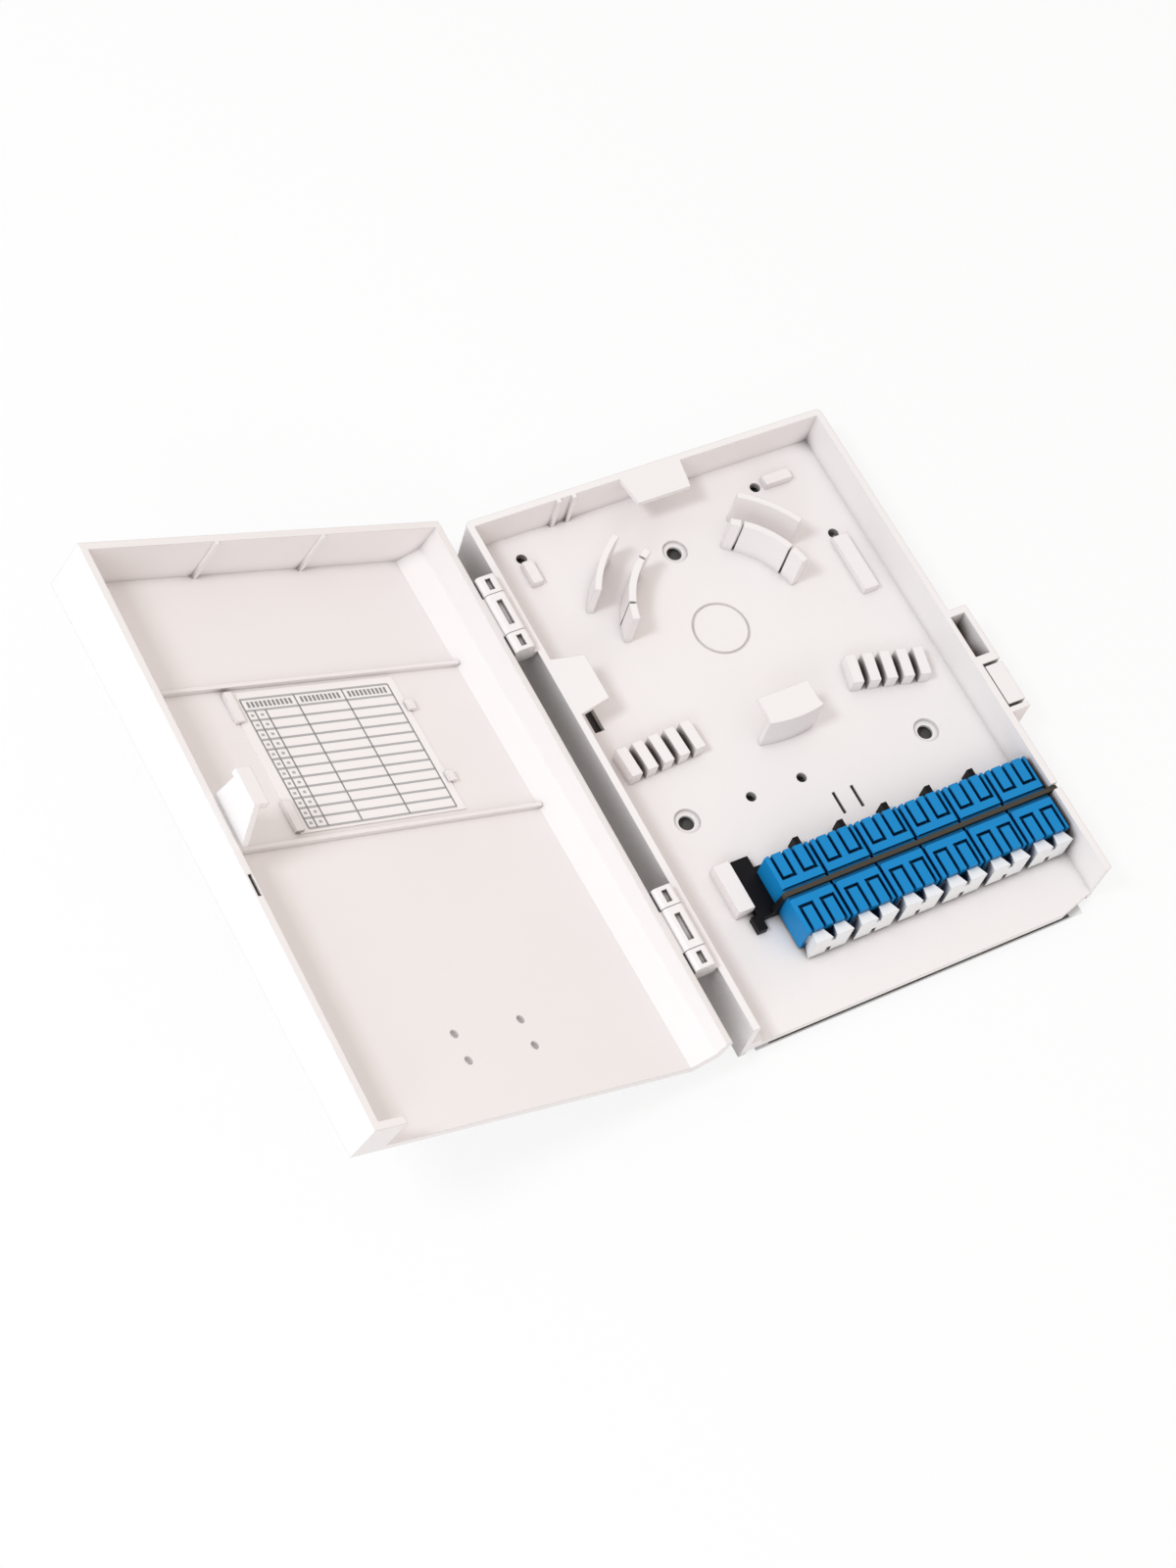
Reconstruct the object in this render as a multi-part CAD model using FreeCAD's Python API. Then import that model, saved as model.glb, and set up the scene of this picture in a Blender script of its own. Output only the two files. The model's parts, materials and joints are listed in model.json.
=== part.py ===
"""Fibre wall box: a shallow tray for a wall, a hinged cover and a row of six duplex adapters.

The origin is the middle of the base's back face. +X points away from the hinge, +Y to the closed
short side, and +Z out of the wall. The short side at -Y is open. The cover is modelled shut and
then swung open, the way the photographed box lies.
"""
import math
import os

import FreeCAD
import Part

V = FreeCAD.Vector
Y_AXIS = V(0, 1, 0)
Z_AXIS = V(0, 0, 1)

# Shells
base_width = 110.0
base_length = 156.0
base_height = 15.5
wall = 2.0
floor_thickness = 2.0
back_gap = 2.0
back_rib_width = 3.0
corner_radius = 1.5
foot_cut_x = 12.5
foot_cut_y = 3.5
stub_length = 5.5
stub_height = 2.2
cover_overhang = 1.5
cover_depth_top = 15.5
cover_depth_foot = 11.5
cover_bevel = 5.0
cover_stub_length = 9.0
rim_gap = 0.3
cut_over = 1.0

# Hinges
hinge_axis_out = 3.9
hinge_axis_up = 0.6
hinge_open_angle = 157.4
hinge_inset = 30.0
hinge_length = 23.4
hinge_ear = 5.6
hinge_side_gap = 0.15
barrel_half = 2.9
barrel_round = 1.2
barrel_pit_width = 1.5
barrel_pit_length = 3.4
barrel_pit_depth = 1.4
barrel_slot_width = 1.6
barrel_slot_length = 7.6
pin_radius = 1.2
pin_seat_clearance = 0.02
pin_turn_clearance = 0.08

# Ring of fibre guides round the knock-out
ring_below_top = 47.4
knockout_radius = 8.0
score_width = 0.7
score_depth = 1.0
guide_wall = 1.8
outer_guide_radius = 36.3
outer_guide_start = 28.0
outer_guide_end = 58.0
inner_guide_radius = 27.4
inner_guide_wall = 2.0
inner_guide_start = 11.0
inner_guide_end = 61.0
guide_slit_angles = (22.0, 54.0)
guide_slit_width = 0.7
low_guide_half_angle = 13.0

# Retaining tabs at rim height
tab_thickness = 1.5
top_tab_half_root = 9.5
top_tab_half_tip = 8.0
top_tab_reach = 8.5
left_tab_middle_y = 24.2
left_tab_half_root = 8.8
left_tab_half_tip = 6.8
left_tab_reach = 9.0
low_tab_half_width = 7.7
low_tab_reach = 7.0
tab_slot_gap = 0.2
tab_slot_width = 2.8
tab_slot_over = 1.0

# Splice combs
comb_fins = 5
comb_pitch = 4.85
comb_fin_length = 8.6
comb_fin_thickness = 3.0
comb_fin_height = 4.4
comb_x = 35.0
comb_y = 2.5
left_comb_turn = 3.0
right_comb_turn = -13.0

# Ribs, bars and holes of the base floor
rib_x = (-28.0, -23.4)
rib_width = 1.2
rib_proud = 1.0
bar_height = 2.4
left_bar_x = -40.5
left_bar_y = 63.0
left_bar_width = 3.0
left_bar_length = 7.0
right_bar_x = 44.7
right_bar_y = 35.0
right_bar_width = 4.5
right_bar_length = 18.0
top_bar_x = 37.7
top_bar_y = 67.0
top_bar_width = 3.2
top_bar_length = 8.4
bar_hole_radius = 1.5
bar_hole_gap = 2.2
screw_hole_radius = 2.1
screw_head_radius = 3.5
screw_head_depth = 1.1
lower_screw_x = 36.8
lower_screw_y = -17.0
upper_screw_y = 56.4
pilot_radius = 1.4
pilot_x = (-17.7, -2.3)
tie_slot_x = (3.3, 8.9)
tie_slot_y = -27.2
tie_slot_length = 6.6
tie_slot_width = 0.9

# Latch side: a tongue inside the cover's free wall, and a block outside the base's wall
tongue_top_y = 7.9
tongue_foot_y = -6.4
tongue_tip_foot_y = -2.3
tongue_height = 10.2
tongue_thickness = 1.8
tongue_gap = 0.8
tongue_neck = 1.1
tongue_lip = 4.0
tongue_lip_height = 2.0
tongue_root = 6.0
block_top_y = 8.0
block_foot_y = -25.4
block_out = 5.6
block_wall = 1.6
pocket_top_y = 5.9
pocket_foot_y = -7.3
pocket_bite = 0.5
pocket_floor_z = 7.0
pad_top_y = -10.3
pad_foot_y = -23.4
pad_slit = 0.9
pad_back_slit = 0.3
pad_root_z = 7.0
catch_slit_top_y = -13.6
catch_slit_foot_y = -19.4
catch_slit_width = 1.0
catch_slit_depth = 5.0

# Adapters and their frame
adapters = 6
adapter_pitch = 13.5
adapter_end_gap = 1.05
adapter_width = 12.7
adapter_height = 9.2
adapter_length = 22.4
adapter_setback = 18.2
adapter_edge = 0.55
adapter_saddle_width = 3.4
adapter_saddle_depth = 1.1
port_pitch = 6.25
port_width = 4.7
port_height = 4.9
port_depth = 9.4
port_lift = 4.1
latch_groove_width = 4.4
latch_groove_island = 2.6
latch_groove_length = 7.4
latch_groove_depth = 1.6
sleeve_tube_radius = 1.3
sleeve_tube_reach = 5.2
sleeve_radius = 0.81
sleeve_bore = 0.63
sleeve_length = 11.4
sleeve_slit = 0.3
sleeve_clearance = 0.04
frame_shelf = 1.0
frame_shelf_reach = 2.0
frame_fit = 0.05
frame_panel = 1.2
frame_panel_proud = 0.2
frame_panel_slope = 2.4
frame_fin = 0.6
frame_fin_height = 1.2
frame_tab = 1.6
frame_tab_length = 3.8
frame_tab_height = 3.6
frame_tab_gap = 0.4
frame_block_width = 5.2
frame_block_reach = 5.0
frame_foot_out = 1.8
frame_foot_width = 2.6
frame_foot_length = 4.2
frame_wall_gap = 0.2
frame_bar_gap = 0.2
side_rail_width = 4.6
side_rail_gap = 0.3
side_rail_length = 14.0
side_rail_height = 4.0

# Dust caps
cap_shank_width = 4.2
cap_shank_height = 4.4
cap_shank_length = 5.4
cap_neck_width = 3.2
cap_neck_height = 6.8
cap_rim_width = 5.0
cap_rim_height = 8.4
cap_reach = 3.2
cap_plate = 0.9
cap_plate_height = 3.6

# Inside of the cover
floor_rib_gap_top = 1.6
floor_rib_gap_foot = 2.4
floor_rib_width = 1.2
floor_rib_height = 1.4
top_rib_x = 16.3
card_width = 51.0
card_length = 41.0
card_middle_y = 21.3
card_thickness = 0.3
clip_gap = 0.3
clip_post = 1.1
clip_lip = 1.0
clip_lift = 0.3
clip_thickness = 0.8
left_clip_length = 8.6
left_clip_inset = 4.6
right_clip_length = 3.0
right_clip_inset = 9.5
cord_hole_radius = 1.1
cord_hole_x = 3.1
cord_hole_y = -60.8
cord_hole_pitch_x = 20.3
cord_hole_pitch_y = 7.2

# Places that follow from the sizes above
half_width = base_width / 2
half_length = base_length / 2
cover_half_length = half_length + cover_overhang
inner_x = half_width - wall
inner_top_y = half_length - wall
floor_z = back_gap + floor_thickness
rim_z = base_height + rim_gap
axis_x = -half_width - hinge_axis_out
axis_z = base_height + hinge_axis_up
hinge_y = half_length - hinge_inset
ring_y = half_length - ring_below_top
low_guide_y = ring_y - outer_guide_radius + guide_wall
adapter_floor_z = floor_z + frame_shelf
adapter_top_z = adapter_floor_z + adapter_height
adapter_front_y = -half_length + adapter_setback
adapter_rear_y = adapter_front_y + adapter_length
adapter_middle_y = (adapter_front_y + adapter_rear_y) / 2
port_z = adapter_floor_z + port_lift
frame_right_x = inner_x - frame_wall_gap
panel_y0 = adapter_middle_y - frame_panel / 2
panel_y1 = adapter_middle_y + frame_panel / 2
panel_low_z = adapter_top_z - adapter_saddle_depth + frame_fit
panel_top_z = adapter_top_z + frame_panel_proud


def adapter_x(number):
    """Middle of one adapter in the row, counted from 0 at the hinge side."""
    last = inner_x - adapter_end_gap - adapter_width / 2
    return last - (adapters - 1 - number) * adapter_pitch


row_left_x = adapter_x(0) - adapter_width / 2 - frame_fit - frame_fin
block_left_x = row_left_x - frame_block_width


def cover_face_z(y):
    """Height of the shut cover's outer face, which slopes down to the open short side."""
    share = (y + cover_half_length) / (2 * cover_half_length)
    return rim_z + cover_depth_foot + share * (cover_depth_top - cover_depth_foot)


def box(x0, x1, y0, y1, z0, z1):
    return Part.makeBox(x1 - x0, y1 - y0, z1 - z0, V(x0, y0, z0))


def prism(points, z0, z1):
    """Upright prism on a list of (x, y) points."""
    wire = Part.makePolygon([V(x, y, z0) for x, y in points + points[:1]])
    return Part.Face(wire).extrude(V(0, 0, z1 - z0))


def prism_along_x(points, x0, x1):
    """Prism along X on a list of (y, z) points."""
    wire = Part.makePolygon([V(x0, y, z) for y, z in points + points[:1]])
    return Part.Face(wire).extrude(V(x1 - x0, 0, 0))


def prism_along_y(points, y0, y1):
    """Prism along Y on a list of (x, z) points."""
    wire = Part.makePolygon([V(x, y0, z) for x, z in points + points[:1]])
    return Part.Face(wire).extrude(V(0, y1 - y0, 0))


def upright(radius, x, y, z0, z1):
    return Part.makeCylinder(radius, z1 - z0, V(x, y, z0), Z_AXIS)


def along_y(radius, x, z, y0, y1):
    return Part.makeCylinder(radius, y1 - y0, V(x, y0, z), Y_AXIS)


def ring_wall(radius, thickness, start, end, z0, z1):
    """Arc of wall round the knock-out, between two angles counted from +X."""
    middle = V(0, ring_y, z0)
    sector = Part.makeCylinder(radius, z1 - z0, middle, Z_AXIS, end - start)
    wall_arc = sector.cut(Part.makeCylinder(radius - thickness, z1 - z0, middle, Z_AXIS))
    wall_arc.rotate(middle, Z_AXIS, start)
    return wall_arc


def tray_shell():
    """Floor and three walls of the base, hollow behind, with one corner of the open side cut back."""
    outline = [
        (-half_width, -half_length),
        (half_width - foot_cut_x, -half_length),
        (half_width, -half_length + foot_cut_y),
        (half_width, half_length),
        (-half_width, half_length),
    ]
    block = prism(outline, 0, base_height)
    corners = [
        edge
        for edge in block.Edges
        if abs(edge.Vertexes[0].Z - edge.Vertexes[1].Z) > floor_z
        and edge.CenterOfMass.y > half_length - floor_z
    ]
    block = block.makeFillet(corner_radius, corners)
    open_y = -half_length - cut_over
    hollow = box(-inner_x, inner_x, open_y, inner_top_y, floor_z, base_height + cut_over)
    behind = box(-inner_x, inner_x, open_y, inner_top_y, -cut_over, back_gap)
    rib = box(-half_width, half_width, -back_rib_width / 2, back_rib_width / 2, -cut_over, back_gap)
    stub_top = floor_z + stub_height
    stub_y1 = -half_length + wall
    stub = box(-inner_x - wall / 2, -half_width + stub_length, -half_length, stub_y1, floor_z, stub_top)
    return block.cut(hollow).cut(behind.cut(rib)).fuse(stub)


def ring_guides():
    """Two concentric arcs on each side of the knock-out and one below it."""
    top = base_height
    pieces = [ring_wall(outer_guide_radius, guide_wall, outer_guide_start, outer_guide_end, floor_z, top)]
    stops = [inner_guide_start, *guide_slit_angles, inner_guide_end]
    slit = math.degrees(guide_slit_width / inner_guide_radius) / 2
    for number in range(len(stops) - 1):
        start = stops[number] + (slit if number > 0 else 0)
        end = stops[number + 1] - (slit if number < len(stops) - 2 else 0)
        pieces.append(ring_wall(inner_guide_radius, inner_guide_wall, start, end, floor_z, top))
    mirrored = [piece.mirror(V(0, 0, 0), V(1, 0, 0)) for piece in pieces]
    low_start = 270 - low_guide_half_angle
    low_end = 270 + low_guide_half_angle
    low = ring_wall(outer_guide_radius, guide_wall, low_start, low_end, floor_z, top)
    return pieces + mirrored + [low]


def retaining_tabs():
    """Flat tabs at rim height that keep the fibre down."""
    bottom = base_height - tab_thickness
    root_y = inner_top_y + wall / 2
    tip_y = inner_top_y - top_tab_reach
    top_tab = [
        (-top_tab_half_root, root_y),
        (top_tab_half_root, root_y),
        (top_tab_half_tip, tip_y),
        (-top_tab_half_tip, tip_y),
    ]
    root_x = -inner_x - wall / 2
    tip_x = -inner_x + left_tab_reach
    left_tab = [
        (root_x, left_tab_middle_y + left_tab_half_root),
        (tip_x, left_tab_middle_y + left_tab_half_tip),
        (tip_x, left_tab_middle_y - left_tab_half_tip),
        (root_x, left_tab_middle_y - left_tab_half_root),
    ]
    low_root_y = low_guide_y - guide_wall / 2
    low_tip_y = low_guide_y + low_tab_reach
    low_tab = box(-low_tab_half_width, low_tab_half_width, low_root_y, low_tip_y, bottom, base_height)
    return [prism(top_tab, bottom, base_height), prism(left_tab, bottom, base_height), low_tab]


def tab_slot():
    """Slot in the floor below the tip of the tab at the hinge wall."""
    x1 = -inner_x + left_tab_reach - tab_slot_gap
    half = left_tab_half_root + tab_slot_over
    y0 = left_tab_middle_y - half
    return box(x1 - tab_slot_width, x1, y0, y0 + 2 * half, -cut_over, floor_z + cut_over)


def splice_comb(middle_x, turn):
    """Row of upright fins that grip splice sleeves, turned as a block."""
    fins = []
    for number in range(comb_fins):
        x = middle_x + (number - (comb_fins - 1) / 2) * comb_pitch
        fin = box(
            x - comb_fin_thickness / 2,
            x + comb_fin_thickness / 2,
            comb_y - comb_fin_length / 2,
            comb_y + comb_fin_length / 2,
            floor_z,
            floor_z + comb_fin_height,
        )
        fin.rotate(V(middle_x, comb_y, 0), Z_AXIS, turn)
        fins.append(fin)
    return fins


def floor_bar(x, y, size_x, size_y):
    return box(x - size_x / 2, x + size_x / 2, y - size_y / 2, y + size_y / 2, floor_z, floor_z + bar_height)


def floor_bars():
    return [
        floor_bar(left_bar_x, left_bar_y, left_bar_width, left_bar_length),
        floor_bar(right_bar_x, right_bar_y, right_bar_width, right_bar_length),
        floor_bar(top_bar_x, top_bar_y, top_bar_length, top_bar_width),
    ]


def side_rail():
    """White rail of the base that the adapter frame's end block lies against."""
    right = block_left_x - side_rail_gap
    top_y = adapter_rear_y + frame_block_reach
    top_z = floor_z + side_rail_height
    return box(right - side_rail_width, right, top_y - side_rail_length, top_y, floor_z, top_z)


def top_wall_ribs():
    y0 = inner_top_y - rib_proud
    y1 = inner_top_y + wall / 2
    return [box(x - rib_width / 2, x + rib_width / 2, y0, y1, floor_z, base_height) for x in rib_x]


def latch_block():
    return box(half_width - wall / 2, half_width + block_out, block_foot_y, block_top_y, 0, base_height)


def latch_cuts():
    """Pocket and springy pad of the block outside the free wall, which is hollow from behind."""
    out = half_width + block_out
    over = base_height + cut_over
    under = pocket_floor_z - block_wall
    skin = base_height - block_wall
    shell_x = out - block_wall
    pad_y0 = block_foot_y + block_wall
    pad_y1 = pocket_foot_y - block_wall
    pocket = box(half_width - pocket_bite, shell_x, pocket_foot_y, pocket_top_y, pocket_floor_z, over)
    pocket_back = box(half_width, shell_x, pocket_foot_y, pocket_top_y, -cut_over, under)
    pad_back = box(half_width, shell_x, pad_y0, pad_y1, -cut_over, skin)
    cuts = [pocket, pocket_back, pad_back]
    for y in (pad_foot_y, pad_top_y):
        cuts.append(box(half_width, out + cut_over, y - pad_slit / 2, y + pad_slit / 2, pad_root_z, over))
    cuts.append(box(half_width, half_width + pad_back_slit, pad_foot_y, pad_top_y, skin - cut_over, over))
    return cuts


def panel_notch():
    """Notch in the free wall for the end of the adapter frame's panel."""
    y0 = panel_y0 - frame_bar_gap
    y1 = panel_y1 + frame_bar_gap
    z0 = panel_low_z - frame_bar_gap
    return box(inner_x - cut_over, half_width + cut_over, y0, y1, z0, base_height + cut_over)


def hinge_barrel(y0, y1):
    """Square hinge barrel with rounded edges, on the hinge axis."""
    low_z = axis_z - barrel_half
    barrel = box(axis_x - barrel_half, axis_x + barrel_half, y0, y1, low_z, low_z + 2 * barrel_half)
    long_edges = [
        edge
        for edge in barrel.Edges
        if abs(edge.Vertexes[0].Y - edge.Vertexes[1].Y) > barrel_round
    ]
    return barrel.makeFillet(barrel_round, long_edges)


def barrel_recess(middle_y, size_x, size_y):
    """Small recess in the top of a hinge barrel."""
    top = axis_z + barrel_half
    x0 = axis_x - size_x / 2
    y0 = middle_y - size_y / 2
    return box(x0, x0 + size_x, y0, y0 + size_y, top - barrel_pit_depth, top + cut_over)


def ear_middles():
    """Middle of each of the base's four hinge ears."""
    reach = hinge_length / 2 - hinge_ear / 2
    return [side * hinge_y + end * reach for side in (-1, 1) for end in (-1, 1)]


def base_ears():
    """Hinge ears of the base, two at each hinge."""
    ears = []
    for middle in ear_middles():
        y0 = middle - hinge_ear / 2
        y1 = middle + hinge_ear / 2
        ears.append(hinge_barrel(y0, y1))
        ears.append(box(axis_x, -half_width + wall / 2, y0, y1, axis_z - barrel_half, base_height))
    return ears


def ear_pits():
    return [barrel_recess(middle, barrel_pit_width, barrel_pit_length) for middle in ear_middles()]


def hinge_bores(radius):
    reach = hinge_length / 2 + cut_over
    middles = (-hinge_y, hinge_y)
    return [along_y(radius, axis_x, axis_z, middle - reach, middle + reach) for middle in middles]


def screw_hole(x, y):
    """Through hole with a flat recess for the screw head."""
    recess = upright(screw_head_radius, x, y, floor_z - screw_head_depth, floor_z + cut_over)
    return upright(screw_hole_radius, x, y, -cut_over, floor_z + cut_over).fuse(recess)


def base_holes():
    """Everything that is cut out of the base floor."""
    cuts = [screw_hole(0, upper_screw_y)]
    for side in (-1, 1):
        cuts.append(screw_hole(side * lower_screw_x, lower_screw_y))
    for x in pilot_x:
        cuts.append(upright(pilot_radius, x, lower_screw_y, -cut_over, floor_z + cut_over))
    for x in tie_slot_x:
        cuts.append(
            box(
                x - tie_slot_width / 2,
                x + tie_slot_width / 2,
                tie_slot_y - tie_slot_length / 2,
                tie_slot_y + tie_slot_length / 2,
                -cut_over,
                floor_z + cut_over,
            )
        )
    left_hole_y = left_bar_y + left_bar_length / 2 + bar_hole_gap
    right_hole_y = right_bar_y + right_bar_length / 2 + bar_hole_gap
    top_hole_x = top_bar_x - top_bar_length / 2 - bar_hole_gap
    bar_holes = [(left_bar_x, left_hole_y), (right_bar_x, right_hole_y), (top_hole_x, top_bar_y)]
    for x, y in bar_holes:
        cuts.append(upright(bar_hole_radius, x, y, -cut_over, floor_z + cut_over))
    score = upright(knockout_radius, 0, ring_y, floor_z - score_depth, floor_z + cut_over)
    cuts.append(score.cut(upright(knockout_radius - score_width, 0, ring_y, 0, floor_z + 2 * cut_over)))
    return cuts


def base_tray():
    combs = splice_comb(-comb_x, left_comb_turn) + splice_comb(comb_x, right_comb_turn)
    added = ring_guides() + retaining_tabs() + combs + top_wall_ribs() + floor_bars()
    added += [side_rail(), latch_block()] + base_ears()
    cuts = base_holes() + latch_cuts() + [tab_slot(), panel_notch()]
    cuts += ear_pits() + hinge_bores(pin_radius + pin_seat_clearance)
    return tray_shell().multiFuse(added).cut(Part.makeCompound(cuts)).removeSplitter()


def cover_profile(y, inset, rim):
    """Closed outline of the shut cover across X at one place along Y."""
    side = half_width - inset
    face = cover_face_z(y) - inset
    points = [
        V(-side, y, rim),
        V(-side, y, face - cover_bevel),
        V(-side + cover_bevel, y, face),
        V(side, y, face),
        V(side, y, rim),
    ]
    return Part.makePolygon(points + points[:1])


def cover_hull():
    """Sloping shell with three walls, open at the rim and on the short side at -Y."""
    outer_ends = (-cover_half_length, cover_half_length)
    outer = [cover_profile(y, 0, rim_z) for y in outer_ends]
    inner_ends = (-cover_half_length - cut_over, cover_half_length - wall)
    inner = [cover_profile(y, wall, rim_z - cut_over) for y in inner_ends]
    return Part.makeLoft(outer, True, True).cut(Part.makeLoft(inner, True, True))


def cover_floor_z(y):
    return cover_face_z(y) - wall


def cover_ribs():
    """Two ribs across the floor, two on the top wall and a short return at the open side."""
    ribs = []
    rib_top_y = card_middle_y + card_length / 2 + floor_rib_gap_top
    rib_foot_y = card_middle_y - card_length / 2 - floor_rib_gap_foot
    for y in (rib_top_y, rib_foot_y):
        z = cover_floor_z(y)
        y0 = y - floor_rib_width / 2
        y1 = y0 + floor_rib_width
        ribs.append(box(-inner_x + cover_bevel, inner_x, y0, y1, z - floor_rib_height, z + wall / 2))
    wall_y = cover_half_length - wall
    for side in (-1, 1):
        x0 = side * top_rib_x - rib_width / 2
        y0 = wall_y - rib_proud
        ribs.append(box(x0, x0 + rib_width, y0, wall_y + wall / 2, rim_z, cover_floor_z(wall_y)))
    start = -cover_half_length
    stub_x0 = half_width - cover_stub_length
    ribs.append(box(stub_x0, half_width, start, start + wall, rim_z, cover_floor_z(start)))
    return ribs


def card_clip(side, y, length):
    """Small clip that holds one edge of the label card to the cover floor."""
    edge = card_width / 2 + clip_gap
    x0 = side * edge
    x1 = side * (edge + clip_post)
    tip = side * (edge - clip_gap - clip_lip)
    root_z = cover_floor_z(y)
    under_z = root_z - card_thickness - clip_lift
    y0 = y - length / 2
    post = box(min(x0, x1), max(x0, x1), y0, y0 + length, under_z - clip_thickness, root_z + wall / 2)
    lip = box(min(tip, x1), max(tip, x1), y0, y0 + length, under_z - clip_thickness, under_z)
    return [post, lip]


def card_clips():
    clips = []
    for end in (-1, 1):
        y = card_middle_y + end * (card_length / 2 - left_clip_inset)
        clips += card_clip(1, y, left_clip_length)
        y = card_middle_y + end * (card_length / 2 - right_clip_inset)
        clips += card_clip(-1, y, right_clip_length)
    return clips


def cover_tongue():
    """Tongue that reaches down inside the base's free wall, with a thick lip at its tip."""
    tip = rim_z - tongue_height
    lip_top = tip + tongue_lip_height
    x1 = inner_x - tongue_gap
    x0 = x1 - tongue_thickness
    outline = [
        (tongue_top_y, rim_z + tongue_root),
        (tongue_top_y, rim_z),
        (tongue_top_y - tongue_neck, lip_top),
        (tongue_top_y - tongue_neck, tip),
        (tongue_tip_foot_y, tip),
        (tongue_foot_y, rim_z),
        (tongue_foot_y, rim_z + tongue_root),
    ]
    lip = box(x1 - tongue_lip, x1, tongue_tip_foot_y, tongue_top_y, tip, lip_top)
    root = box(x0, inner_x + wall / 2, tongue_foot_y, tongue_top_y, rim_z + rim_gap, rim_z + tongue_root)
    return [prism_along_x(outline, x0, x1), lip, root]


def cover_knuckles():
    """Cover's share of each hinge, between the base's two ears. It lies square when the cover is open."""
    knuckles = []
    half = hinge_length / 2 - hinge_ear - hinge_side_gap
    for middle in (-hinge_y, hinge_y):
        y0 = middle - half
        y1 = middle + half
        slot = barrel_recess(middle, barrel_slot_width, barrel_slot_length)
        barrel = hinge_barrel(y0, y1).cut(slot)
        barrel.rotate(V(axis_x, 0, axis_z), Y_AXIS, hinge_open_angle)
        knuckles.append(barrel)
        knuckles.append(box(axis_x, -half_width + wall / 2, y0, y1, rim_z, axis_z + barrel_half))
    return knuckles


def cover_cuts():
    """Catch slit in the free wall's rim and four small holes in the floor."""
    x0 = half_width - wall / 2 - catch_slit_width / 2
    x1 = x0 + catch_slit_width
    z1 = rim_z + catch_slit_depth
    cuts = [box(x0, x1, catch_slit_foot_y, catch_slit_top_y, rim_z - cut_over, z1)]
    for side_x in (-1, 1):
        for side_y in (-1, 1):
            x = cord_hole_x + side_x * cord_hole_pitch_x / 2
            y = cord_hole_y + side_y * cord_hole_pitch_y / 2
            z0 = cover_floor_z(y) - cut_over
            cuts.append(upright(cord_hole_radius, x, y, z0, cover_face_z(y) + cut_over))
    return cuts


def cover_shell_shut():
    added = cover_ribs() + card_clips() + cover_tongue() + cover_knuckles()
    cuts = cover_cuts() + hinge_bores(pin_radius + pin_turn_clearance)
    return cover_hull().multiFuse(added).cut(Part.makeCompound(cuts)).removeSplitter()


def label_card_shut():
    """Card that lies on the sloping cover floor."""
    y0 = card_middle_y - card_length / 2
    y1 = card_middle_y + card_length / 2
    outline = [
        (y0, cover_floor_z(y0)),
        (y1, cover_floor_z(y1)),
        (y1, cover_floor_z(y1) - card_thickness),
        (y0, cover_floor_z(y0) - card_thickness),
    ]
    return prism_along_x(outline, -card_width / 2, card_width / 2)


def swung_open(shape):
    shape.rotate(V(axis_x, 0, axis_z), Y_AXIS, -hinge_open_angle)
    return shape


def hinge_pin(middle):
    return along_y(pin_radius, axis_x, axis_z, middle - hinge_length / 2, middle + hinge_length / 2)


def frame_panel_plate():
    """Thin upright panel with a sloping end at the hinge side and a nose in the free wall's notch."""
    outline = [
        (row_left_x - frame_panel_slope, floor_z),
        (frame_right_x, floor_z),
        (frame_right_x, panel_low_z),
        (half_width - frame_bar_gap, panel_low_z),
        (half_width - frame_bar_gap, panel_top_z),
        (row_left_x, panel_top_z),
    ]
    return prism_along_y(outline, panel_y0, panel_y1)


def adapter_frame():
    """Shelf, windowed panel, low dividers with end tabs, and the end block that hold the adapters."""
    fin_top = adapter_floor_z + frame_fin_height
    shelf_y1 = adapter_rear_y + frame_shelf_reach
    block_y1 = adapter_rear_y + frame_block_reach
    shelf = box(row_left_x, frame_right_x, panel_y0, shelf_y1, floor_z, adapter_floor_z)
    block = box(block_left_x, row_left_x + frame_fin, panel_y0, block_y1, floor_z, fin_top)
    foot_x0 = block_left_x - frame_foot_out
    foot_y0 = panel_y1 - frame_foot_length
    foot = box(foot_x0, foot_x0 + frame_foot_width, foot_y0, panel_y1, floor_z, fin_top)
    tab_y0 = adapter_rear_y + frame_tab_gap
    tab_top = adapter_floor_z + frame_tab_height
    fins = []
    for number in range(adapters - 1):
        x = (adapter_x(number) + adapter_x(number + 1)) / 2
        fin_x0 = x - frame_fin / 2
        fins.append(box(fin_x0, fin_x0 + frame_fin, panel_y0, tab_y0 + frame_tab, floor_z, fin_top))
        tab_x0 = x - frame_tab / 2
        fins.append(box(tab_x0, tab_x0 + frame_tab, tab_y0, tab_y0 + frame_tab_length, floor_z, tab_top))
    windows = []
    half = adapter_width / 2 + frame_fit
    window_y0 = panel_y0 - cut_over
    window_y1 = panel_y1 + cut_over
    for number in range(adapters):
        x = adapter_x(number)
        windows.append(box(x - half, x + half, window_y0, window_y1, adapter_floor_z, panel_low_z))
    solid = shelf.multiFuse([frame_panel_plate(), block, foot] + fins)
    return solid.cut(Part.makeCompound(windows)).removeSplitter()


def port_x(number, port):
    return adapter_x(number) + (port - 0.5) * port_pitch


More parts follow.
